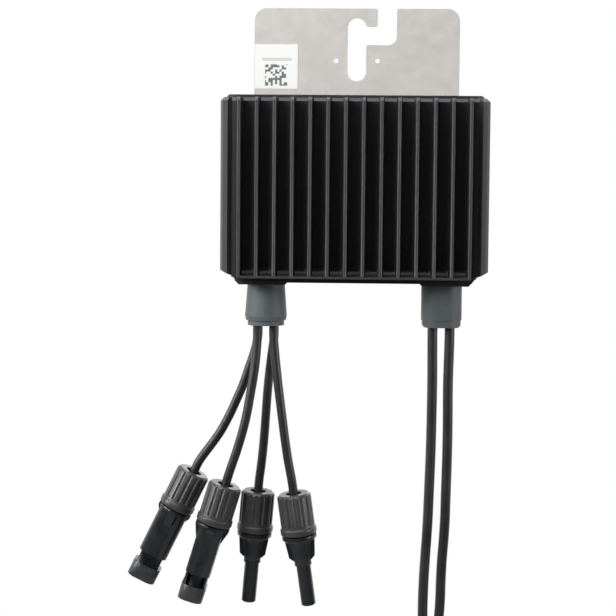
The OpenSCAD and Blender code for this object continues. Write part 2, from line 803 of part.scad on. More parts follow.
module finned_case() {
    pad_half = collar_w / 2 + neck_lip_h;
    pad_high = collar_high + wall;
    pad_back = cover_face + lip_h + 2 * fit;
    bench_w = (transistor_count - 1) * transistor_pitch + transistor_w + 2 * pad_edge;
    bench_depth = board_front + transistor_t + pad_t;
    color("#1c1d1f") difference() {
        union() {
            difference() {
                union() {
                    plate(case_back, box_front) box_outline();
                    fin_block();
                }
                translate([0, 0, case_mid]) plate(case_back - over, inner_front) inner_outline(0);
            }
            // Thicker floor over each collar
            for (x = [-input_x - collar_shift, output_x + collar_shift])
                translate([x - pad_half, -inner_front - over, pad_high - wall])
                    cube([2 * pad_half, inner_front + over - pad_back, wall]);
            // Posts for the board and the bench that takes the thermal pad
            for (x = [-1, 1], z = board_screw_z)
                bar(x * board_screw_x, z, board_front, inner_front + over, post_d);
            translate([-bench_w / 2, -inner_front - over, parts_z - transistor_l / 2 - pad_edge])
                cube([bench_w, inner_front + over - bench_depth, transistor_l + 2 * pad_edge]);
        }
        plate(collar_back, case_d) collar_outline(fit);
        upright(case_low - over, pad_high + over) gland_places(fit);
        upright(pad_high, pad_high + neck_lip_h + over) gland_places(neck_lip + fit);
        translate([0, 0, case_mid]) for (x = [-1, 1], z = [-1, 1])
            bar(x * screw_x, z * screw_z, case_back - over, case_back + screw_l, screw_d + 2 * fit);
        for (x = [-1, 1], z = board_screw_z)
            bar(x * board_screw_x, z, board_front - over, board_front + board_screw_l + over,
                board_screw_d + 2 * fit);
    }
}

module rear_cover() {
    head_depth = bracket_t + screw_head_h;
    color("#202124") difference() {
        union() {
            plate(bracket_t, cover_face) box_outline();
            translate([0, 0, case_mid]) plate(cover_face - over, cover_face + lip_h) difference() {
                inner_outline(-fit * 2);
                inner_outline(-fit * 2 - lip_t);
            }
        }
        for (x = [-1, 1], z = [-1, 1]) translate([0, 0, case_mid]) {
            bar(x * screw_x, z * screw_z, bracket_t - over, cover_face + over, screw_d + 2 * fit);
            bar(x * screw_x, z * screw_z, bracket_t - over, head_depth, screw_head_d + 2 * fit);
        }
        bracket_screw_places() screw_form(fit);
    }
}

module cover_gasket() {
    color("#3a3a3a") translate([0, 0, case_mid]) plate(cover_face, case_back) difference() {
        inner_outline(gasket_gap + gasket_w);
        inner_outline(gasket_gap);
    }
}

module cover_screws() {
    head_depth = bracket_t + screw_head_h;
    color("silver") translate([0, 0, case_mid]) for (x = [-1, 1], z = [-1, 1]) difference() {
        union() {
            bar(x * screw_x, z * screw_z, bracket_t, head_depth, screw_head_d);
            bar(x * screw_x, z * screw_z, bracket_t, head_depth + screw_l - gasket_t, screw_d);
        }
        translate([x * screw_x, -bracket_t + over, z * screw_z]) rotate([90, 0, 0])
            cylinder(d = drive_d, h = over + screw_head_h / 2, $fn = 6);
    }
}

module gland_collar(side) {
    color("#18191b") difference() {
        intersection() {
            plate(collar_back + fit, channel_floor + collar_front) collar_outline(0);
            translate([side < 0 ? -case_w : 0, -case_d, collar_low - over])
                cube([case_w, case_d, 2 * collar_t]);
        }
        upright(collar_low - over, collar_high + over) gland_places(fit);
    }
}

module input_strain_relief() {
    neck_r = input_neck_d / 2;
    bore_r = input_bore_d / 2;
    foot = -input_relief_l;
    inside = collar_t + wall;
    color("#5f676a") translate([-input_x, -lead_depth, collar_low]) rotate_extrude() polygon([
        [bore_r, foot], [input_lip_d / 2 + neck_lip, foot], [input_flare_d / 2, foot + input_taper_l],
        [input_relief_d / 2, 0], [neck_r, 0], [neck_r, inside], [neck_r + neck_lip, inside],
        [neck_r, inside + neck_lip_h], [bore_r, inside + neck_lip_h]
    ]);
}

module output_strain_relief() {
    neck_w = output_relief_w - 2 * neck_step;
    neck_t = output_relief_t - 2 * neck_step;
    inside = collar_t + wall;
    color("#565e61") translate([output_x, -lead_depth, collar_low]) difference() {
        union() {
            upright(-output_relief_l, 0) obround(output_relief_w, output_relief_t);
            upright(-over, inside) obround(neck_w, neck_t);
            upright(inside, inside + neck_lip_h) obround(neck_w + 2 * neck_lip, neck_t + 2 * neck_lip);
        }
        upright(-output_relief_l - over, inside + neck_lip_h + over) obround(output_bore_w, output_bore_t);
    }
}

module input_grommet() {
    color("#3d4346") difference() {
        translate([-input_x, -lead_depth, 0]) {
            upright(input_exit, input_exit + input_lip_h) circle(d = input_lip_d);
            upright(input_exit, input_exit + input_lip_h + grommet_l) circle(d = input_bore_d - 2 * fit);
        }
        for (x = [input_left, input_right], y = [row_back, row_front]) translate([x, y])
            upright(input_exit - over, input_exit + input_lip_h + grommet_l + over)
                circle(d = input_d + 2 * fit);
    }
}

module output_grommet() {
    lip_w = output_relief_w - 2 * neck_step;
    lip_depth = output_relief_t - 2 * neck_step;
    top = output_exit + output_lip_h;
    color("#565e61") difference() {
        union() {
            intersection() {
                translate([output_x, -lead_depth, 0]) upright(output_exit, top) obround(lip_w, lip_depth);
                plate(0, case_d) translate([output_x, top])
                    rounded_rect(lip_w, 2 * output_lip_h, output_lip_r);
            }
            translate([output_x, -lead_depth, 0]) upright(top - over, top + grommet_l)
                obround(output_bore_w - 2 * fit, output_bore_t - 2 * fit);
        }
        for (x = [output_left, output_right]) translate([x, -lead_depth])
            upright(output_exit - over, top + grommet_l + over) circle(d = output_d + 2 * fit);
    }
}

module circuit_board() {
    color("#1f5a3a") difference() {
        translate([0, 0, board_mid]) plate(board_back, board_front)
            bevelled_rect(board_w, board_h, board_bevel);
        for (x = [-1, 1], z = board_screw_z)
            bar(x * board_screw_x, z, board_back - over, board_front + over, board_screw_d + 2 * fit);
    }
}

module board_screws() {
    color("silver") for (x = [-1, 1], z = board_screw_z) {
        bar(x * board_screw_x, z, board_back - board_head_h, board_back, board_head_d);
        bar(x * board_screw_x, z, board_back - board_head_h, board_front + board_screw_l, board_screw_d);
    }
}

module power_transistors() {
    first = -(transistor_count - 1) * transistor_pitch / 2;
    color("#2b2b2d") for (i = [0:transistor_count - 1])
        translate([first + i * transistor_pitch, 0, parts_z]) plate(board_front, board_front + transistor_t)
            square([transistor_w, transistor_l], center = true);
}

module thermal_pad() {
    pad_w = (transistor_count - 1) * transistor_pitch + transistor_w + 2 * pad_edge;
    pad_back = board_front + transistor_t;
    color("#8fa6b8") translate([0, 0, parts_z]) plate(pad_back, pad_back + pad_t)
        square([pad_w, transistor_l + 2 * pad_edge], center = true);
}

// A ring core that lies flat on the back of the board
module inductor_core(side) {
    core_h = part_h - 2 * winding_t;
    color("#5b5b55") translate([side * inductor_x, 0, parts_z])
        plate(board_back - winding_t - core_h, board_back - winding_t) difference() {
            circle(d = core_d);
            circle(d = core_hole_d);
        }
}

module inductor_winding(side) {
    core_h = part_h - 2 * winding_t;
    color("#a8642c") translate([side * inductor_x, -board_back, parts_z]) rotate([-90, 0, 0])
        rotate_extrude(angle = winding_angle) difference() {
            translate([core_hole_d / 2 - winding_t, 0])
                square([core_wall + 2 * winding_t, part_h]);
            translate([core_hole_d / 2 - fit, winding_t - fit])
                square([core_wall + 2 * fit, core_h + 2 * fit]);
        }
}

module capacitor(side, place) {
    color("#30343a") bar(side * capacitor_x, parts_z + place * capacitor_pitch / 2, board_back - part_h,
        board_back, capacitor_d);
}

module control_chip() {
    color("#222325") translate([0, 0, parts_z - chip_drop]) plate(board_back - chip_t, board_back)
        square(chip_w, center = true);
}

module lug(x, front) {
    translate([x, 0, lead_end + lug_l / 2])
        plate(front ? board_front : board_back - lug_t, front ? board_front + lug_t : board_back)
        square([lug_w, lug_l], center = true);
}

module input_terminals() {
    color("goldenrod") for (x = [input_left, input_right], front = [false, true]) lug(x, front);
}

module output_terminals() {
    color("goldenrod") for (x = [output_left, output_right]) lug(x, false);
}

module tube(pts, d) {
    n = tube_sides;
    count = len(pts);
    rings = [for (i = [0:count - 1]) each ring(pts[i], tangent(pts, i), d / 2)];
    walls = [
        for (i = [0:count - 2], k = [0:n - 1])
        [i * n + k, i * n + (k + 1) % n, (i + 1) * n + (k + 1) % n, (i + 1) * n + k]
    ];
    caps = [[for (k = [0:n - 1]) n - 1 - k], [for (k = [0:n - 1]) (count - 1) * n + k]];
    polyhedron(rings, concat(walls, caps));
}

module input_lead(i) {
    start = [exits[i][0], exits[i][1], lead_end];
    tip = end_points[i] + lead_in * end_headings[i];
    color("#34373a") tube(concat([start], placed(exits[i], every_second(routes[i])), [tip]), input_d);
}

module output_lead(i) {
    start = [exits[i][0], exits[i][1], lead_end];
    color("#34373a") tube(concat([start], placed(exits[i], routes[i])), output_d);
}

module output_tail(i) {
    tip = end_points[4 + i] + lead_in * end_headings[4 + i];
    color("#34373a") tube(concat(placed(tail_starts[i], tail_routes[i]), [tip]), output_d);
}

// The wound turns as a plain ring, grown by a margin
module coil_ring(grow) {
    translate([coil_x, -lead_depth, coil_z]) rotate([90, 0, 0]) rotate_extrude()
        translate([coil_r, 0]) square(2 * [coil_half_w + grow, coil_half_t + grow], center = true);
}

// The wound leads as one body, with the short straight runs where leads enter and leave
module output_coil() {
    color("#34373a") {
        coil_ring(0);
        translate([coil_entry[0] - coil_pitch / 2, -lead_depth - coil_pitch, coil_z])
            cube([coil_pitch, 2 * coil_pitch, coil_run]);
        for (p = tail_starts) translate([p[0] - coil_pitch / 2, p[1] - coil_pitch / 2, p[2]])
            cube([2 * coil_pitch, coil_pitch, coil_run]);
    }
}

module coil_tie() {
    long = 2 * (coil_half_w + tie_t);
    deep = 2 * (coil_half_t + tie_t);
    color("#222222") difference() {
        translate([coil_x + coil_r, -lead_depth, coil_z]) cube([long, deep, tie_w], center = true);
        coil_ring(fit);
    }
}

// Moves a connector drawn along -Z, with its nut's top at the origin, to the end of a lead
module at_lead_end(i, roll) {
    h = end_headings[i];
    translate(end_points[i]) rotate([asin(h[1]), atan2(-h[0], -h[2]), 0]) rotate([0, 0, roll]) children();
}

// A section of a connector between two distances from its nut's top
module span(s_0, s_1) {
    translate([0, 0, -s_1]) linear_extrude(s_1 - s_0) children();
}

module connector_nut(i) {
    top_r = nut_top_d / 2;
    ring_r = nut_d / 2;
    color("#3b3c3d") at_lead_end(i, 0) difference() {
        rotate_extrude() polygon([
            [nut_hole_d / 2, 0], [top_r - nut_bevel, 0], [top_r, -nut_bevel],
            [ring_r - nut_bevel / 2, nut_ring - nut_l], [ring_r, nut_ring - nut_l - nut_bevel / 2],
            [ring_r, nut_bevel / 2 - nut_l], [ring_r - nut_bevel / 2, -nut_l],
            [stub_d / 2 + fit, -nut_l], [stub_d / 2 + fit, -nut_roof], [nut_hole_d / 2, -nut_roof]
        ]);
        for (k = [0:flute_count - 1]) rotate([0, 0, 360 * k / flute_count])
            translate([top_r - flute_in + flute_d / 2, 0, nut_ring + nut_bevel - nut_l])
                cylinder(d = flute_d, h = nut_l, $fn = 24);
    }
}

// The hole that takes the crimp and the shank of a contact
module contact_hole(shank_d, shank_end) {
    span(lead_in - over, lead_in + crimp_l + fit) circle(d = crimp_d + 2 * fit);
    span(lead_in, shank_end) circle(d = shank_d + 2 * fit);
}

module shell_outline(inset) {
    rounded_rect(shell_w - 2 * inset, shell_t - 2 * inset, shell_r - inset);
}

// Two ribs that taper from a flange to the body below it
module wings(body_w, length) {
    top = nut_l + flange_l;
    rotate([90, 0, 0]) translate([0, 0, -wing_t / 2]) linear_extrude(wing_t) polygon([
        [-wing_w / 2, -nut_l - nut_gap], [wing_w / 2, -nut_l - nut_gap], [wing_w / 2, -top],
        [body_w / 2 - over, -top - length], [over - body_w / 2, -top - length], [-wing_w / 2, -top]
    ]);
}

// Plug connector: a shell with latch windows round a recessed pin
module shell_body(i, roll) {
    foot = nut_l + shell_l;
    groove_end = foot - end_collar;
    groove_start = groove_end - groove_l;
    color("#26292b") at_lead_end(i, roll) difference() {
        union() {
            span(lead_in, nut_l + flange_l) circle(d = stub_d);
            span(nut_l + nut_gap, nut_l + flange_l) circle(d = shell_flange_d);
            span(nut_l + nut_gap, groove_start) shell_outline(0);
            span(groove_start - over, groove_end + over) shell_outline(groove_in);
            span(groove_end, foot) shell_outline(0);
            wings(shell_w, wing_short_l);
            rotate([0, 0, 90]) wings(shell_t, wing_l);
        }
        span(foot - socket_l, foot + over) circle(d = socket_d);
        span(groove_start, groove_end) difference() {
            square([shell_w + over, window_w], center = true);
            circle(d = socket_d + 2 * sleeve_t);
        }
        contact_hole(pin_shank_d, foot - socket_l + over);
    }
}

module pin_contact(i) {
    tip = nut_l + shell_l - pin_recess;
    shank_end = nut_l + shell_l - socket_l;
    color("#b9b29c") at_lead_end(i, 0) {
        span(lead_in, lead_in + crimp_l) circle(d = crimp_d);
        span(lead_in, shank_end) circle(d = pin_shank_d);
        span(lead_in, tip - pin_d / 4) circle(d = pin_d);
        translate([0, 0, -tip]) cylinder(d1 = pin_d / 2, d2 = pin_d, h = pin_d / 4);
    }
}

// Nose connector: a tapered shoulder with two latch arms above a slender nose
module nose_body(i, roll) {
    foot = nut_l + nose_l;
    flange_end = nut_l + flange_l;
    color("#26292b") at_lead_end(i, roll) difference() {
        union() {
            span(lead_in, flange_end) circle(d = stub_d);
            rotate_extrude() polygon([
                [0, -nut_l - nut_gap], [nose_flange_d / 2, -nut_l - nut_gap],
                [nose_flange_d / 2, -flange_end], [shoulder_d / 2, -flange_end - flange_taper],
                [shoulder_end_d / 2, -shoulder_end], [nose_d / 2 + seal_t, -nose_start],
                [nose_d / 2, -nose_start], [nose_d / 2, nose_bevel - foot],
                [nose_d / 2 - nose_bevel, -foot], [0, -foot]
            ]);
            rotate([90, 0, 0]) translate([0, 0, -arm_t / 2]) linear_extrude(arm_t) mirrored() polygon([
                [arm_w / 2 - 2 * arm_h, -flange_end], [arm_w / 2, -flange_end],
                [arm_end_w / 2, arm_h - shoulder_end], [arm_end_w / 2 - arm_h, -shoulder_end],
                [arm_end_w / 2 - 2 * arm_h, -shoulder_end]
            ]);
        }
        span(flange_end, foot + over) circle(d = nose_bore_d);
        contact_hole(nose_bore_d - 2 * fit, flange_end + over);
    }
}

module socket_contact(i) {
    tip = nut_l + nose_l - contact_recess;
    color("#b9b29c") at_lead_end(i, 0) difference() {
        union() {
            span(lead_in, lead_in + crimp_l) circle(d = crimp_d);
            span(lead_in, tip) circle(d = nose_bore_d - 2 * fit);
        }
        span(tip - contact_bore_l, tip + over) circle(d = contact_bore_d);
    }
}

module nose_seal(i) {
    color("#151515") at_lead_end(i, 0) span(nose_start, nose_start + seal_h) difference() {
        circle(d = nose_d + 2 * seal_t);
        circle(d = nose_d + 2 * fit);
    }
}

mounting_bracket();
bracket_screws();
finned_case();
rear_cover();
cover_gasket();
cover_screws();
gland_collar(-1);  // input_gland_collar
gland_collar(1);  // output_gland_collar
input_strain_relief();
output_strain_relief();
input_grommet();
output_grommet();
circuit_board();
board_screws();
power_transistors();
thermal_pad();
inductor_core(-1);  // inductor_1_core
inductor_winding(-1);  // inductor_1_winding
inductor_core(1);  // inductor_2_core
inductor_winding(1);  // inductor_2_winding
capacitor(-1, 1);  // input_capacitor_1
capacitor(-1, -1);  // input_capacitor_2
capacitor(1, 1);  // output_capacitor_1
capacitor(1, -1);  // output_capacitor_2
control_chip();
input_terminals();
output_terminals();
input_lead(0);  // input_lead_1
input_lead(1);  // input_lead_2
input_lead(2);  // input_lead_3
input_lead(3);  // input_lead_4
output_lead(4);  // output_lead_1
output_lead(5);  // output_lead_2
output_coil();
coil_tie();
output_tail(0);  // output_tail_1
output_tail(1);  // output_tail_2
connector_nut(0);  // input_1_nut
shell_body(0, 0);  // input_1_body
pin_contact(0);  // input_1_contact
connector_nut(1);  // input_2_nut
shell_body(1, 90);  // input_2_body
pin_contact(1);  // input_2_contact
connector_nut(2);  // input_3_nut
nose_body(2, 0);  // input_3_body
socket_contact(2);  // input_3_contact
nose_seal(2);  // input_3_seal
connector_nut(3);  // input_4_nut
nose_body(3, 0);  // input_4_body
socket_contact(3);  // input_4_contact
nose_seal(3);  // input_4_seal
connector_nut(4);  // output_1_nut
shell_body(4, 0);  // output_1_body
pin_contact(4);  // output_1_contact
connector_nut(5);  // output_2_nut
nose_body(5, 0);  // output_2_body
socket_contact(5);  // output_2_contact
nose_seal(5);  // output_2_seal
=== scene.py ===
"""Looks of a solar power optimizer: finned case, sheet bracket, leads and cable connectors."""
import math

import bpy
import bmesh
from mathutils import Matrix, Vector


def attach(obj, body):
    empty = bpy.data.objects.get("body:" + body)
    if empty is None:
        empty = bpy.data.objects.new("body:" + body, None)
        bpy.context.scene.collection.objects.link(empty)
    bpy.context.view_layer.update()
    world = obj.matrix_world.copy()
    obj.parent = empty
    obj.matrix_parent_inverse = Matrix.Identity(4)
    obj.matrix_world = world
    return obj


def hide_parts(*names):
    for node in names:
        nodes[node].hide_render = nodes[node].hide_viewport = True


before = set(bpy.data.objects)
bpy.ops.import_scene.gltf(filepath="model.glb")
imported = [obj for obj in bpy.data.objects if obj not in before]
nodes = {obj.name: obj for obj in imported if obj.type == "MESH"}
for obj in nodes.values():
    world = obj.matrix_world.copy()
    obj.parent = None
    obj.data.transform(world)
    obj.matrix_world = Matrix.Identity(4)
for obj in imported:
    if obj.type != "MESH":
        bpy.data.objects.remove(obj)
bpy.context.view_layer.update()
scene = bpy.context.scene
scene.view_settings.view_transform = "Standard"
MM = 0.001


# Camera, solved from the edges of the case in the photograph

CAMERA_PLACE = (0.01195, -0.9395, -0.06621)
YAW, PITCH, ROLL = math.radians(2.153), math.radians(4.5), math.radians(0.474)
LENS, SENSOR, CLIP_START = 109.34, 36, 0.05


def add_camera():
    ahead = Vector((-math.sin(YAW) * math.cos(PITCH),
                    math.cos(YAW) * math.cos(PITCH), -math.sin(PITCH)))
    side = Vector((math.cos(YAW), math.sin(YAW), 0))
    up = side.cross(ahead)
    right = side * math.cos(ROLL) + up * math.sin(ROLL)
    top = up * math.cos(ROLL) - side * math.sin(ROLL)
    data = bpy.data.cameras.new("camera")
    data.sensor_width = SENSOR
    data.lens = LENS
    data.clip_start = CLIP_START
    camera = bpy.data.objects.new("camera", data)
    turn = Matrix((right, top, -ahead)).transposed()
    camera.matrix_world = Matrix.Translation(CAMERA_PLACE) @ turn.to_4x4()
    scene.collection.objects.link(camera)
    scene.camera = camera


add_camera()


# Nodes: a source is a node, which gives its first output, or a pair of node and output name

def feed(tree, source, node, socket):
    source, output = source if isinstance(source, tuple) else (source, 0)
    tree.links.new(source.outputs[output], node.inputs[socket])


def coords(tree, scale=(1, 1, 1)):
    """Object coordinates, which are the part's frame, because no solid is moved."""
    place = tree.nodes.new("ShaderNodeTexCoord")
    stretch = tree.nodes.new("ShaderNodeMapping")
    stretch.inputs["Scale"].default_value = scale
    feed(tree, (place, "Object"), stretch, "Vector")
    return stretch


def separate(tree, place):
    axes = tree.nodes.new("ShaderNodeSeparateXYZ")
    feed(tree, place, axes, "Vector")
    return axes


def noise(tree, place, scale, detail):
    tex = tree.nodes.new("ShaderNodeTexNoise")
    tex.inputs["Scale"].default_value = scale
    tex.inputs["Detail"].default_value = detail
    feed(tree, place, tex, "Vector")
    return tex


def spread(tree, source, low, high, start=0.3, end=0.7):
    """Low to high while the source goes from start to end, which by default is where noise lies."""
    remap = tree.nodes.new("ShaderNodeMapRange")
    remap.inputs["From Min"].default_value = start
    remap.inputs["From Max"].default_value = end
    remap.inputs["To Min"].default_value = low
    remap.inputs["To Max"].default_value = high
    feed(tree, source, remap, "Value")
    return remap


def tint(tree, source, dark, light, start=0.3, end=0.7):
    ramp = tree.nodes.new("ShaderNodeValToRGB")
    for stop, spot, color in zip(ramp.color_ramp.elements, (start, end), (dark, light)):
        stop.position = spot
        stop.color = (*color, 1)
    feed(tree, source, ramp, "Fac")
    return ramp


def grain(tree, source, shader, strength, depth):
    bump = tree.nodes.new("ShaderNodeBump")
    bump.inputs["Strength"].default_value = strength
    bump.inputs["Distance"].default_value = depth
    feed(tree, source, bump, "Height")
    feed(tree, bump, shader, "Normal")


def calc(tree, operation, *terms):
    """A math node on sources and numbers."""
    node = tree.nodes.new("ShaderNodeMath")
    node.operation = operation
    for i, term in enumerate(terms):
        if isinstance(term, (int, float)):
            node.inputs[i].default_value = term
        else:
            feed(tree, term, node, i)
    return node


def vector_calc(tree, operation, place, constant=None):
    node = tree.nodes.new("ShaderNodeVectorMath")
    node.operation = operation
    if constant is not None:
        node.inputs[1].default_value = constant
    feed(tree, place, node, 0)
    return node


def within(tree, source, low, high):
    """1 where a value lies between two limits."""
    return calc(tree, "COMPARE", source, (low + high) / 2, (high - low) / 2)


# Materials

CLOUD_SCALE, CLOUD_DETAIL, LINE_DETAIL, FINE_DETAIL = 60, 4.0, 3.0, 2.0
MOULD_DEPTH, METAL_DEPTH, PAPER_DEPTH = 0.0001, 0.00005, 0.00003


def new_material(name, color, rough, metallic=0.0):
    mat = bpy.data.materials.new(name)
    mat.use_nodes = True
    mat.diffuse_color = (*color, 1)
    shader = mat.node_tree.nodes["Principled BSDF"]
    shader.inputs["Base Color"].default_value = (*color, 1)
    shader.inputs["Roughness"].default_value = rough
    shader.inputs["Metallic"].default_value = metallic
    return mat, mat.node_tree, shader


def moulded(name, dark, light, rough_low, rough_high, scale, strength):
    """A surface with a fine grain, cloudy colour and uneven gloss."""
    middle = tuple((a + b) / 2 for a, b in zip(dark, light))
    mat, tree, shader = new_material(name, middle, (rough_low + rough_high) / 2)
    place = coords(tree)
    broad = noise(tree, place, CLOUD_SCALE, CLOUD_DETAIL)
    feed(tree, tint(tree, broad, dark, light), shader, "Base Color")
    feed(tree, spread(tree, broad, rough_low, rough_high), shader, "Roughness")
    grain(tree, noise(tree, place, scale, FINE_DETAIL), shader, strength, MOULD_DEPTH)
    return mat


SHEET_COLOR = (0.645, 0.62, 0.595)
SHEET_DARK, SHEET_LIGHT = (0.62, 0.597, 0.573), (0.67, 0.644, 0.616)
SPANGLE_SCALE, SPANGLE_SHARE, SHEET_CLOUD = 260, 0.25, 240
ROLLING_SCALE, ROLLING_STRETCH = 900, (1, 1, 0.02)


def sheet_metal(name):
    """Galvanised sheet: faint upright rolling lines and soft spangle."""
    mat, tree, shader = new_material(name, SHEET_COLOR, rough=0.5, metallic=0.25)
    place = coords(tree)
    spangle = tree.nodes.new("ShaderNodeTexVoronoi")
    spangle.inputs["Scale"].default_value = SPANGLE_SCALE
    feed(tree, place, spangle, "Vector")
    split = tree.nodes.new("ShaderNodeSeparateColor")
    feed(tree, (spangle, "Color"), split, "Color")
    mix = tree.nodes.new("ShaderNodeMix")
    mix.inputs["Factor"].default_value = SPANGLE_SHARE
    feed(tree, noise(tree, place, SHEET_CLOUD, CLOUD_DETAIL), mix, "A")
    feed(tree, (split, "Red"), mix, "B")
    feed(tree, tint(tree, mix, SHEET_DARK, SHEET_LIGHT), shader, "Base Color")
    feed(tree, spread(tree, mix, low=0.44, high=0.56), shader, "Roughness")
    lines = noise(tree, coords(tree, ROLLING_STRETCH), ROLLING_SCALE, LINE_DETAIL)
    grain(tree, lines, shader, 0.12, METAL_DEPTH)
    return mat


# The coat's painted highlight fades with depth, Y, and on the corners also with the distance from
# the middle
TIP_Y, TIP_HIGHLIGHT = (-0.0415, -0.0375), (0.24, 0.34)
CORNER_Y, CORNER_X = (-0.0365, -0.03), (0.0565, 0.0605)
COAT_GRAIN = 1600


def coat_with_painted_highlights(name, coat_black, highlight_color):
    """Black coat with a painted highlight: paler on the fin tips, most on the outer corners, and
    darkest in the shaded channels.
    """
    mat, tree, shader = new_material(name, coat_black, rough=0.46)
    place = coords(tree)
    axes = separate(tree, place)
    broad = noise(tree, place, CLOUD_SCALE, CLOUD_DETAIL)
    tips = calc(tree, "MULTIPLY", spread(tree, (axes, "Y"), 1, 0, *TIP_Y),
                spread(tree, broad, *TIP_HIGHLIGHT))
    width = calc(tree, "ABSOLUTE", (axes, "X"))
    corners = calc(tree, "MULTIPLY", spread(tree, (axes, "Y"), 1, 0, *CORNER_Y),
                   spread(tree, width, 0, 1, *CORNER_X))
    # Painted highlight: tips and outer corners get a paler colour that stands in for the light they
    # catch
    painted_light_and_tone = calc(tree, "MAXIMUM", tips, corners)
    feed(tree, tint(tree, painted_light_and_tone, coat_black, highlight_color, 0, 1), shader, "Base Color")
    feed(tree, spread(tree, broad, low=0.42, high=0.5), shader, "Roughness")
    grain(tree, noise(tree, place, COAT_GRAIN, FINE_DETAIL), shader, 0.12, MOULD_DEPTH)
    return mat


SHELL_COLOR = (0.012, 0.014, 0.017)
# The groove colour is painted shade; the collar colour is paler
GROOVE_SHADE_COLOR, COLLAR_COLOR = (0.003, 0.0045, 0.006), (0.05, 0.053, 0.056)
COLLAR_H, GROOVE_H = 8 * MM, 6 * MM
BODY_WEAR, COLLAR_PALENESS = (0.2, 0.42), (0.7, 1)
SHELL_CLOUD, SHELL_GRAIN = 160, 2400


def shell_plastic(name, piece, heading):
    """Plug plastic with painted shade darkening the groove band, and paler on the end collar."""
    mat, tree, shader = new_material(name, SHELL_COLOR, rough=0.35)
    place = coords(tree)
    along = (vector_calc(tree, "DOT_PRODUCT", place, heading), "Value")
    collar_top = max(v.co.dot(heading) for v in piece.data.vertices) - COLLAR_H
    # Painted shade: the band below the end collar is given the darkest colour
    groove_shade = within(tree, along, collar_top - GROOVE_H, collar_top)
    broad = noise(tree, place, SHELL_CLOUD, CLOUD_DETAIL)
    body = calc(tree, "MULTIPLY", spread(tree, broad, *BODY_WEAR), spread(tree, groove_shade, 1, 0, 0, 1))
    collar = calc(tree, "MULTIPLY", spread(tree, broad, *COLLAR_PALENESS),
                  calc(tree, "GREATER_THAN", along, collar_top))
    painted_light_and_tone = calc(tree, "MAXIMUM", body, collar)
    feed(tree, tint(tree, painted_light_and_tone, GROOVE_SHADE_COLOR, COLLAR_COLOR, 0, 1), shader, "Base Color")
    feed(tree, spread(tree, broad, low=0.32, high=0.42), shader, "Roughness")
    grain(tree, noise(tree, place, SHELL_GRAIN, FINE_DETAIL), shader, 0.03, MOULD_DEPTH)
    return mat


SCRATCH_SCALE = 700


def plain_metal(name, color, rough):
    mat, tree, shader = new_material(name, color, rough, metallic=1.0)
    scratch = noise(tree, coords(tree), SCRATCH_SCALE, CLOUD_DETAIL)
    feed(tree, spread(tree, scratch, rough - 0.06, rough + 0.08), shader, "Roughness")
    grain(tree, scratch, shader, 0.08, METAL_DEPTH)
    return mat


# Dark and light colour, lowest and highest roughness, scale and strength of the grain
MOULDED = {
    "black_cover": ((0.013, 0.0135, 0.0145), (0.018, 0.0185, 0.0195), 0.45, 0.55, 1600, 0.12),
    "collar_plastic": ((0.01, 0.0105, 0.011), (0.015, 0.0155, 0.016), 0.5, 0.6, 1800, 0.1),
    "relief_rubber": ((0.092, 0.108, 0.114), (0.115, 0.132, 0.139), 0.5, 0.6, 2200, 0.1),
    "jacket_rubber": ((0.0185, 0.0193, 0.0198), (0.0255, 0.0263, 0.0272), 0.34, 0.44, 2600, 0.08),
    "plug_plastic": ((0.0085, 0.011, 0.014), (0.0145, 0.018, 0.022), 0.3, 0.4, 2400, 0.08),
    "nut_plastic": ((0.04, 0.041, 0.04), (0.06, 0.061, 0.059), 0.3, 0.4, 2400, 0.1),
    "seal_rubber": ((0.012, 0.012, 0.012), (0.018, 0.018, 0.018), 0.6, 0.7, 2600, 0.08),
    "board_mask": ((0.012, 0.075, 0.04), (0.02, 0.1, 0.055), 0.25, 0.35, 900, 0.1),
    "chip_plastic": ((0.02, 0.02, 0.021), (0.03, 0.03, 0.031), 0.5, 0.6, 2600, 0.1),
    "sleeve_plastic": ((0.03, 0.034, 0.042), (0.04, 0.045, 0.055), 0.2, 0.3, 1200, 0.05),
    "pad_rubber": ((0.26, 0.36, 0.46), (0.32, 0.42, 0.52), 0.6, 0.7, 1500, 0.1),
    "core_powder": ((0.08, 0.08, 0.07), (0.12, 0.12, 0.11), 0.6, 0.7, 2000, 0.2),
    "tie_plastic": ((0.015, 0.015, 0.016), (0.022, 0.022, 0.023), 0.45, 0.55, 1500, 0.1),
}
# Colour and middle roughness
METALS = {
    "screw_metal": ((0.55, 0.55, 0.54), 0.3),
    "contact_metal": ((0.7, 0.68, 0.62), 0.25),
    "wire_copper": ((0.6, 0.27, 0.11), 0.35),
    "lug_brass": ((0.66, 0.5, 0.22), 0.3),
}
# The coat's black, and the paler colour of its painted highlight on fin tips and outer corners
COAT_BLACK, COAT_HIGHLIGHT = (0.0195, 0.019, 0.022), (0.092, 0.0915, 0.094)
materials = {"black_coat": coat_with_painted_highlights("black_coat", COAT_BLACK, COAT_HIGHLIGHT)}
materials.update((name, moulded(name, *look)) for name, look in MOULDED.items())
materials["bracket_metal"] = sheet_metal("bracket_metal")
materials.update((name, plain_metal(name, *look)) for name, look in METALS.items())


# Cords: routes in millimetres, as steps from the point where each lead leaves its grommet

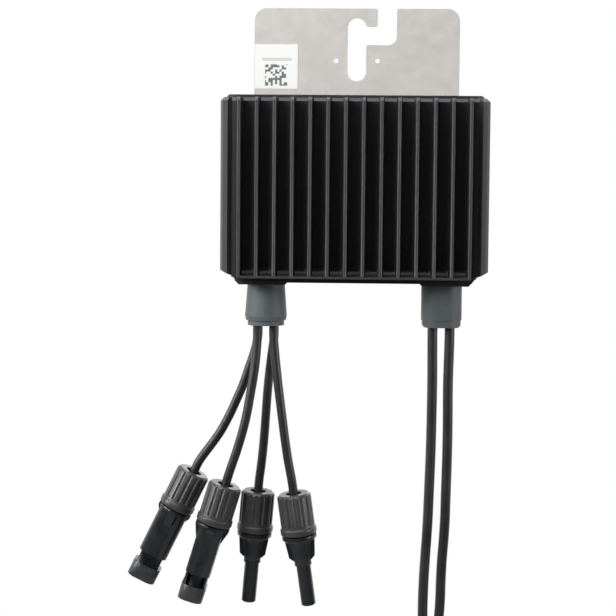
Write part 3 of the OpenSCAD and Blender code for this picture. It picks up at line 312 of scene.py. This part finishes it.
ROUTES = [
    [(0, 0, 0), (0, 0, -5), (-0.8, 0.1, -10), (-2.3, 0.2, -15.5), (-4.2, 0.3, -21),
     (-6, 0.4, -26.5), (-8, 0.6, -32), (-10.4, 0.8, -37.5), (-12.8, 1, -43), (-15.5, 1.2, -48.5),
     (-18.6, 1.4, -54.1), (-22.2, 1.6, -59.4), (-25.9, 1.9, -64.4), (-29.3, 2.2, -69.3),
     (-31.8, 2.5, -74.4)],
    [(0, 0, 0), (0, 0, -5.5), (-0.3, -0.3, -11), (-0.7, -0.7, -16.5), (-1.3, -1.1, -22),
     (-2.1, -1.5, -27.5), (-3, -1.9, -33), (-3.9, -2.2, -38.5), (-4.9, -2.4, -44),
     (-6.1, -2.6, -49.5), (-7.6, -2.6, -55.2), (-9.4, -2.5, -61.3), (-11.4, -2.3, -67.3),
     (-13.4, -2, -73.3), (-15.2, -1.6, -79.2)],
    [(0, 0, 0), (0, 0, -5.5), (-0.7, 0.1, -11.5), (-1.5, 0.2, -17.5), (-2.2, 0.3, -23.5),
     (-2.8, 0.4, -29.5), (-3.3, 0.6, -35.5), (-3.7, 0.8, -41.5), (-4.1, 1, -47.5),
     (-4.5, 1.2, -53.5), (-5, 1.4, -59.7), (-5.6, 1.6, -65.8), (-6.3, 1.9, -71.9),
     (-7.1, 2.2, -77.9), (-7.6, 2.6, -83.8)],
    [(0, 0, 0), (0, 0, -5.5), (0.5, -0.3, -11.5), (1.1, -0.7, -17.5), (1.8, -1.1, -23.5),
     (2.5, -1.5, -29.5), (3.3, -1.9, -35.5), (4.1, -2.2, -41.5), (4.9, -2.4, -47.5),
     (5.7, -2.6, -53.5), (6.6, -2.6, -59.7), (7.5, -2.5, -65.6), (8.6, -2.3, -71.5),
     (9.7, -2, -77.4), (10.5, -1.6, -83.2)],
    [(0, 0, 0), (0, 0, -6), (0.1, 0, -16), (0.2, 0, -26), (0.2, 0, -36), (0.1, 0, -46),
     (0, 0, -56), (-0.2, 0, -66), (-0.5, 0, -76), (-0.8, 0, -86), (-1.1, 0, -96),
     (-1.6, 0, -106), (-2.2, 0, -116), (-2.7, -0.2, -126), (-3, -0.5, -136), (-3, -1, -146),
     (-2.4, -1.7, -153), (-1.3, -2.4, -160), (-0.3, -2.55, -166), (0, -2.55, -170),
     (0, -2.55, -174)],
    [(0, 0, 0), (0, 0, -6), (-0.2, 0, -16), (-0.4, 0, -26), (-0.4, 0, -36), (-0.3, 0, -46),
     (-0.3, 0, -56), (-0.4, 0, -66), (-0.6, 0, -76), (-0.8, 0, -86), (-1, 0, -96),
     (-1.5, 0, -106), (-2.2, 0, -116), (-2.6, 0.2, -126), (-2.8, 0.5, -136), (-3.4, 1, -146),
     (-4.6, 1.7, -153), (-6.6, 2.4, -160), (-8, 2.55, -166), (-8.4, 2.55, -170),
     (-8.4, 2.55, -174)],
]
EXITS = [(-47.3, -18.4, -147), (-47.3, -23.6, -147), (-39.3, -18.4, -147),
         (-39.3, -23.6, -147), (38.8, -21, -147.2), (47.2, -21, -147.2)]
TAIL = [(0, 0, 0), (0, 0, -4), (0.9, 0, -9), (2.3, 0, -14), (4, 0, -19), (5.7, 0, -24)]
INPUT_D, OUTPUT_D = 4.5, 5.0
# How far a lead runs into the nut, and how far it comes from inside the gland
LEAD_IN, INSIDE = 7.0, 26.0
# The coil: degrees of turn at which the radius goes in and out by a pitch and the layer changes
COIL_R, COIL_PITCH, COIL_RUN = 29.0, 5.1, 18.0
TURNS_IN, TURNS_OUT, TURN_SPAN = (270, 630), (1350, 1710), 150
LAST_OUT, LAYER_CHANGE = (2070, 2160), (990, 1140)
TURN_STEP, COIL_POINTS = 15, 145
CORD_SEGMENTS = 5


def smooth(points, per=4):
    """The points with more of them between, on one smooth curve."""
    pts = [Vector(p) for p in points]
    ends = [pts[0] * 2 - pts[1]] + pts + [pts[-1] * 2 - pts[-2]]
    out = []
    for a, b, c, d in zip(ends, ends[1:], ends[2:], ends[3:]):
        for i in range(per):
            t = i / per
            out.append(0.5 * (2 * b + (c - a) * t + (2 * a - 5 * b + 4 * c - d) * t * t
                              + (3 * b - a - 3 * c + d) * t ** 3))
    return out + [pts[-1]]


def ease(x, start, end):
    t = min(max((x - start) / (end - start), 0), 1)
    return t * t * (3 - 2 * t)


def end_heading(points):
    return (points[-1] - points[-2]).normalized()


def lead_in(points):
    return points + [points[-1] + end_heading(points) * LEAD_IN]


def run_out(i):
    """A lead from inside its gland to the end of its route."""
    exit_point = Vector(EXITS[i])
    return ([exit_point + Vector((0, 0, INSIDE))]
            + smooth([exit_point + Vector(p) for p in ROUTES[i]]))


def input_points(i):
    return lead_in(run_out(i))


def coil_turn(turn, centre, near, far):
    """A point of the coil: three turns inwards in the near layer, three outwards in the far one."""
    radius = COIL_R + COIL_PITCH
    for start in TURNS_IN:
        radius -= COIL_PITCH * ease(turn, start, start + TURN_SPAN)
    for start in TURNS_OUT:
        radius += COIL_PITCH * ease(turn, start, start + TURN_SPAN)
    radius += COIL_PITCH * ease(turn, *LAST_OUT)
    angle = math.radians(turn)
    layer = near + (far - near) * ease(turn, *LAYER_CHANGE)
    return Vector((centre.x - radius * math.cos(angle), layer, centre.z - radius * math.sin(angle)))


def output_points(i):
    sign = -1 if i == 4 else 1
    run = run_out(i)
    entry = run[-1]
    centre = Vector((entry.x + COIL_R + COIL_PITCH, 0, entry.z - COIL_RUN))
    near = entry.y
    far = near + sign * COIL_PITCH
    wound = [coil_turn(TURN_STEP * k, centre, near, far) for k in range(COIL_POINTS)]
    start = Vector((centre.x - COIL_R - 2 * COIL_PITCH, far, centre.z - COIL_RUN))
    tail = smooth([start + Vector((sign * p[0], p[1], p[2])) for p in TAIL])
    return lead_in(run + wound + tail)


def cord_curve(name, points, diameter, mat):
    data = bpy.data.curves.new(name, "CURVE")
    data.dimensions = "3D"
    data.bevel_depth = diameter / 2 * MM
    data.bevel_resolution = CORD_SEGMENTS
    data.use_fill_caps = True
    line = data.splines.new("POLY")
    line.points.add(len(points) - 1)
    for spot, p in zip(line.points, points):
        spot.co = (*(p * MM), 1)
    data.materials.append(mat)
    piece = bpy.data.objects.new(name, data)
    scene.collection.objects.link(piece)
    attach(piece, "root")
    return piece


jacket = materials["jacket_rubber"]
for i in range(4):
    lead = cord_curve(f"input_cord_{i + 1}", input_points(i), INPUT_D, jacket)
    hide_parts(f"input_lead_{i + 1}")
for i in (4, 5):
    lead = cord_curve(f"output_cord_{i - 3}", output_points(i), OUTPUT_D, jacket)
    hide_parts(f"output_lead_{i - 3}", f"output_tail_{i - 3}",
                *(["output_coil"] if i == 4 else []))


# Finishes of the carried-over solids, with soft edges in millimetres

CASE_EDGE, NUT_EDGE, BODY_EDGE = 0.25, 0.2, 0.15
WELD_GAP, EDGE_SEGMENTS, EDGE_ANGLE = 0.00001, 2, math.radians(35)


def dress(name, mat, edge=0.0):
    """Gives a solid its material, and softens its edges where a width is named."""
    piece = nodes[name]
    piece.data.materials.clear()
    piece.data.materials.append(mat)
    if edge:
        weld = piece.modifiers.new("weld", "WELD")
        weld.merge_threshold = WELD_GAP
        soft = piece.modifiers.new("soft_edges", "BEVEL")
        soft.width = edge * MM
        soft.segments = EDGE_SEGMENTS
        soft.limit_method = "ANGLE"
        soft.angle_limit = EDGE_ANGLE
        soft.harden_normals = True


FINISH = {
    "bracket_metal": ["mounting_bracket"],
    "black_cover": ["rear_cover"],
    "seal_rubber": ["cover_gasket", "input_3_seal", "input_4_seal", "output_2_seal"],
    "screw_metal": ["bracket_screws", "cover_screws", "board_screws"],
    "collar_plastic": ["input_gland_collar", "output_gland_collar"],
    "relief_rubber": ["input_strain_relief", "output_strain_relief",
                      "input_grommet", "output_grommet"],
    "board_mask": ["circuit_board"],
    "chip_plastic": ["power_transistors", "control_chip"],
    "pad_rubber": ["thermal_pad"],
    "core_powder": ["inductor_1_core", "inductor_2_core"],
    "wire_copper": ["inductor_1_winding", "inductor_2_winding"],
    "sleeve_plastic": ["input_capacitor_1", "input_capacitor_2",
                       "output_capacitor_1", "output_capacitor_2"],
    "lug_brass": ["input_terminals", "output_terminals"],
    "tie_plastic": ["coil_tie"],
}
for finish, names in FINISH.items():
    for name in names:
        dress(name, materials[finish])
dress("finned_case", materials["black_coat"], CASE_EDGE)
for name in ("input_1", "input_2", "input_3", "input_4", "output_1", "output_2"):
    dress(name + "_nut", materials["nut_plastic"], NUT_EDGE)
    dress(name + "_contact", materials["contact_metal"])
for name in ("input_3", "input_4", "output_2"):
    dress(name + "_body", materials["plug_plastic"], BODY_EDGE)
for name, run in (("input_1", input_points(0)), ("input_2", input_points(1)),
                  ("output_1", output_points(4))):
    shell = shell_plastic(name + "_shell", nodes[name + "_body"], end_heading(run))
    dress(name + "_body", shell, BODY_EDGE)


# Sticker on the bracket: a white label with a grey bar and a plain block of cells

STICKER_LOW, STICKER_HIGH = (-0.0508, -0.00215, -0.0305), (-0.0294, -0.00199, -0.0086)
STICKER_EDGE = 0.00004
PAPER, INK = (0.92, 0.92, 0.9), (0.15, 0.17, 0.17)
BLOCK_X, BLOCK_Z = (-0.04565, -0.0346), (-0.029, -0.0185)
BAR_X, BAR_Z, BAR_INK = (-0.0472, -0.0324), (-0.0168, -0.0152), 0.3
CELL, BLANK_SHARE = (0.0011, 1, 0.00105), 0.48
FIBRE_SCALE = 1500


def sticker_material():
    mat, tree, shader = new_material("sticker_paper", PAPER, rough=0.45)
    place = coords(tree)
    cells = tree.nodes.new("ShaderNodeTexWhiteNoise")
    feed(tree, vector_calc(tree, "SNAP", place, CELL), cells, "Vector")
    dark = calc(tree, "GREATER_THAN", (cells, "Value"), BLANK_SHARE)
    axes = separate(tree, place)
    block, bar = (calc(tree, "MULTIPLY", within(tree, (axes, "X"), *across),
                       within(tree, (axes, "Z"), *upright))
                  for across, upright in ((BLOCK_X, BLOCK_Z), (BAR_X, BAR_Z)))
    print_amount = calc(tree, "ADD", calc(tree, "MULTIPLY", dark, block),
                        spread(tree, bar, 0, BAR_INK, 0, 1))
    feed(tree, tint(tree, print_amount, PAPER, INK, 0, 1), shader, "Base Color")
    grain(tree, noise(tree, place, FIBRE_SCALE, LINE_DETAIL), shader, 0.05, PAPER_DEPTH)
    return mat


def slab(name, low, high, mat):
    mesh = bpy.data.meshes.new(name)
    shape = bmesh.new()
    bmesh.ops.create_cube(shape, size=1)
    for v in shape.verts:
        v.co = [low[k] if v.co[k] < 0 else high[k] for k in range(3)]
    bmesh.ops.bevel(shape, geom=shape.edges[:], offset=STICKER_EDGE, segments=1, affect="EDGES")
    shape.to_mesh(mesh)
    shape.free()
    mesh.materials.append(mat)
    piece = bpy.data.objects.new(name, mesh)
    scene.collection.objects.link(piece)
    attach(piece, "root")
    return piece


sticker = slab("sticker", STICKER_LOW, STICKER_HIGH, sticker_material())


# Stage: a pale floor well below, and a white backdrop that only reflections show, so that no side
# of the object is hidden

FLOOR_Z, FLOOR_R, TOP_Z, BACK_Y, REACH = -1.2, 3.3, 4.0, 1.2, 12.0
GLOW_NEAR, GLOW_FROM = 0.25, 1.25
WHITE = (1, 1, 1, 1)


def stage_plane(name, corners, mat):
    mesh = bpy.data.meshes.new(name)
    mesh.from_pydata(corners, [], [(0, 1, 2, 3)])
    mesh.materials.append(mat)
    piece = bpy.data.objects.new(name, mesh)
    scene.collection.objects.link(piece)
    return piece


def backdrop_material():
    mat, tree, shader = new_material("backdrop_white", (0.9, 0.9, 0.9), rough=0.9)
    path = tree.nodes.new("ShaderNodeLightPath")
    seen = calc(tree, "MAXIMUM", (path, "Is Glossy Ray"), (path, "Is Transmission Ray"))
    shader.inputs["Emission Color"].default_value = WHITE
    feed(tree, seen, shader, "Emission Strength")
    return mat


def floor_material():
    """Pale floor that fades into the white around it."""
    mat, tree, shader = new_material("floor_pale", (0.85, 0.85, 0.85), rough=0.9)
    path = tree.nodes.new("ShaderNodeLightPath")
    away = (vector_calc(tree, "LENGTH", coords(tree)), "Value")
    glow = calc(tree, "MULTIPLY", (path, "Is Camera Ray"),
                spread(tree, away, GLOW_NEAR, 1, GLOW_FROM, FLOOR_R))
    shader.inputs["Emission Color"].default_value = WHITE
    feed(tree, glow, shader, "Emission Strength")
    return mat


stage_plane("floor", [(-FLOOR_R, -FLOOR_R, FLOOR_Z), (FLOOR_R, -FLOOR_R, FLOOR_Z),
                      (FLOOR_R, FLOOR_R, FLOOR_Z), (-FLOOR_R, FLOOR_R, FLOOR_Z)], floor_material())
backdrop = stage_plane("backdrop", [(-REACH, BACK_Y, FLOOR_Z), (REACH, BACK_Y, FLOOR_Z),
                                    (REACH, BACK_Y, TOP_Z), (-REACH, BACK_Y, TOP_Z)],
                       backdrop_material())
backdrop.visible_camera = backdrop.visible_diffuse = backdrop.visible_shadow = False


# Light: each lamp's place, target, size in metres and power in watts

LAMPS = {
    "key": ((-0.62, -1.04, 0.34), (0, 0, -0.1), 0.4, 6.6),
    "side": ((-1.1, -0.42, 0.2), (0, 0, -0.14), 0.5, 10.2),
    "fill": ((1.1, -0.5, 0.02), (0, 0, -0.18), 0.5, 6.4),
    "top": ((-0.1, -0.2, 0.75), (0, 0, -0.08), 0.8, 7.8),
    "back": ((0.35, 0.95, 0.35), (0, 0, -0.12), 0.5, 3.5),
}
AMBIENT = 0.01


def area_light(name, place, target, size, power):
    data = bpy.data.lights.new(name, "AREA")
    data.size = size
    data.energy = power
    lamp = bpy.data.objects.new(name, data)
    lamp.location = place
    lamp.rotation_euler = (Vector(target) - Vector(place)).to_track_quat("-Z", "Y").to_euler()
    scene.collection.objects.link(lamp)


def white_world():
    """White where the camera sees it, and a faint light for the rest."""
    world = bpy.data.worlds.new("studio")
    scene.world = world
    world.use_nodes = True
    tree = world.node_tree
    sky = tree.nodes["Background"]
    sky.inputs["Color"].default_value = WHITE
    path = tree.nodes.new("ShaderNodeLightPath")
    feed(tree, spread(tree, (path, "Is Camera Ray"), AMBIENT, 1, 0, 1), sky, "Strength")


for name, lamp in LAMPS.items():
    area_light(name, *lamp)
white_world()
